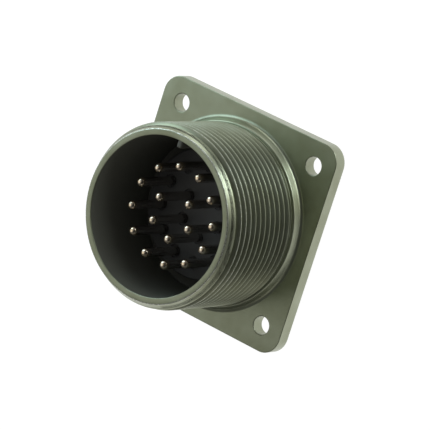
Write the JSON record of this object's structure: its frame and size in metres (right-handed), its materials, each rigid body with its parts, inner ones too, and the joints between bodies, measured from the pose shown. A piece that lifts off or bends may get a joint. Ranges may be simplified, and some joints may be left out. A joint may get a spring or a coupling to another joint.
{
  "type": "box mounting receptacle connector",
  "caption": "Round multi-pin receptacle on a square flange, with an externally threaded barrel, male pin contacts in a black insert and solder cups behind.",
  "frame": {"origin": "centre of the flange's rear mounting face", "axes": "+Z along the barrel, out of the open mouth where the mating plug leaves; +Y towards the polarising key, square to a side of the flange"},
  "size_m": [0.0382, 0.0382, 0.0305],
  "materials": {
    "plated_shell": "olive drab plating, satin",
    "insert_plastic": "moulded black",
    "ring_steel": "spring steel",
    "contact_gold": "gold plated"
  },
  "bodies": {
    "root": {"receptacle_shell": "plated_shell", "front_insulator": "insert_plastic", "rear_insulator": "insert_plastic", "retaining_ring": "ring_steel", "pin_contact_a": "contact_gold", "pin_contact_b": "contact_gold", "pin_contact_c": "contact_gold", "pin_contact_d": "contact_gold", "pin_contact_e": "contact_gold", "pin_contact_f": "contact_gold", "pin_contact_g": "contact_gold", "pin_contact_h": "contact_gold", "pin_contact_j": "contact_gold", "pin_contact_k": "contact_gold", "pin_contact_l": "contact_gold", "pin_contact_m": "contact_gold", "pin_contact_n": "contact_gold", "pin_contact_p": "contact_gold", "pin_contact_r": "contact_gold", "pin_contact_s": "contact_gold", "pin_contact_t": "contact_gold"}
  },
  "joints": []
}
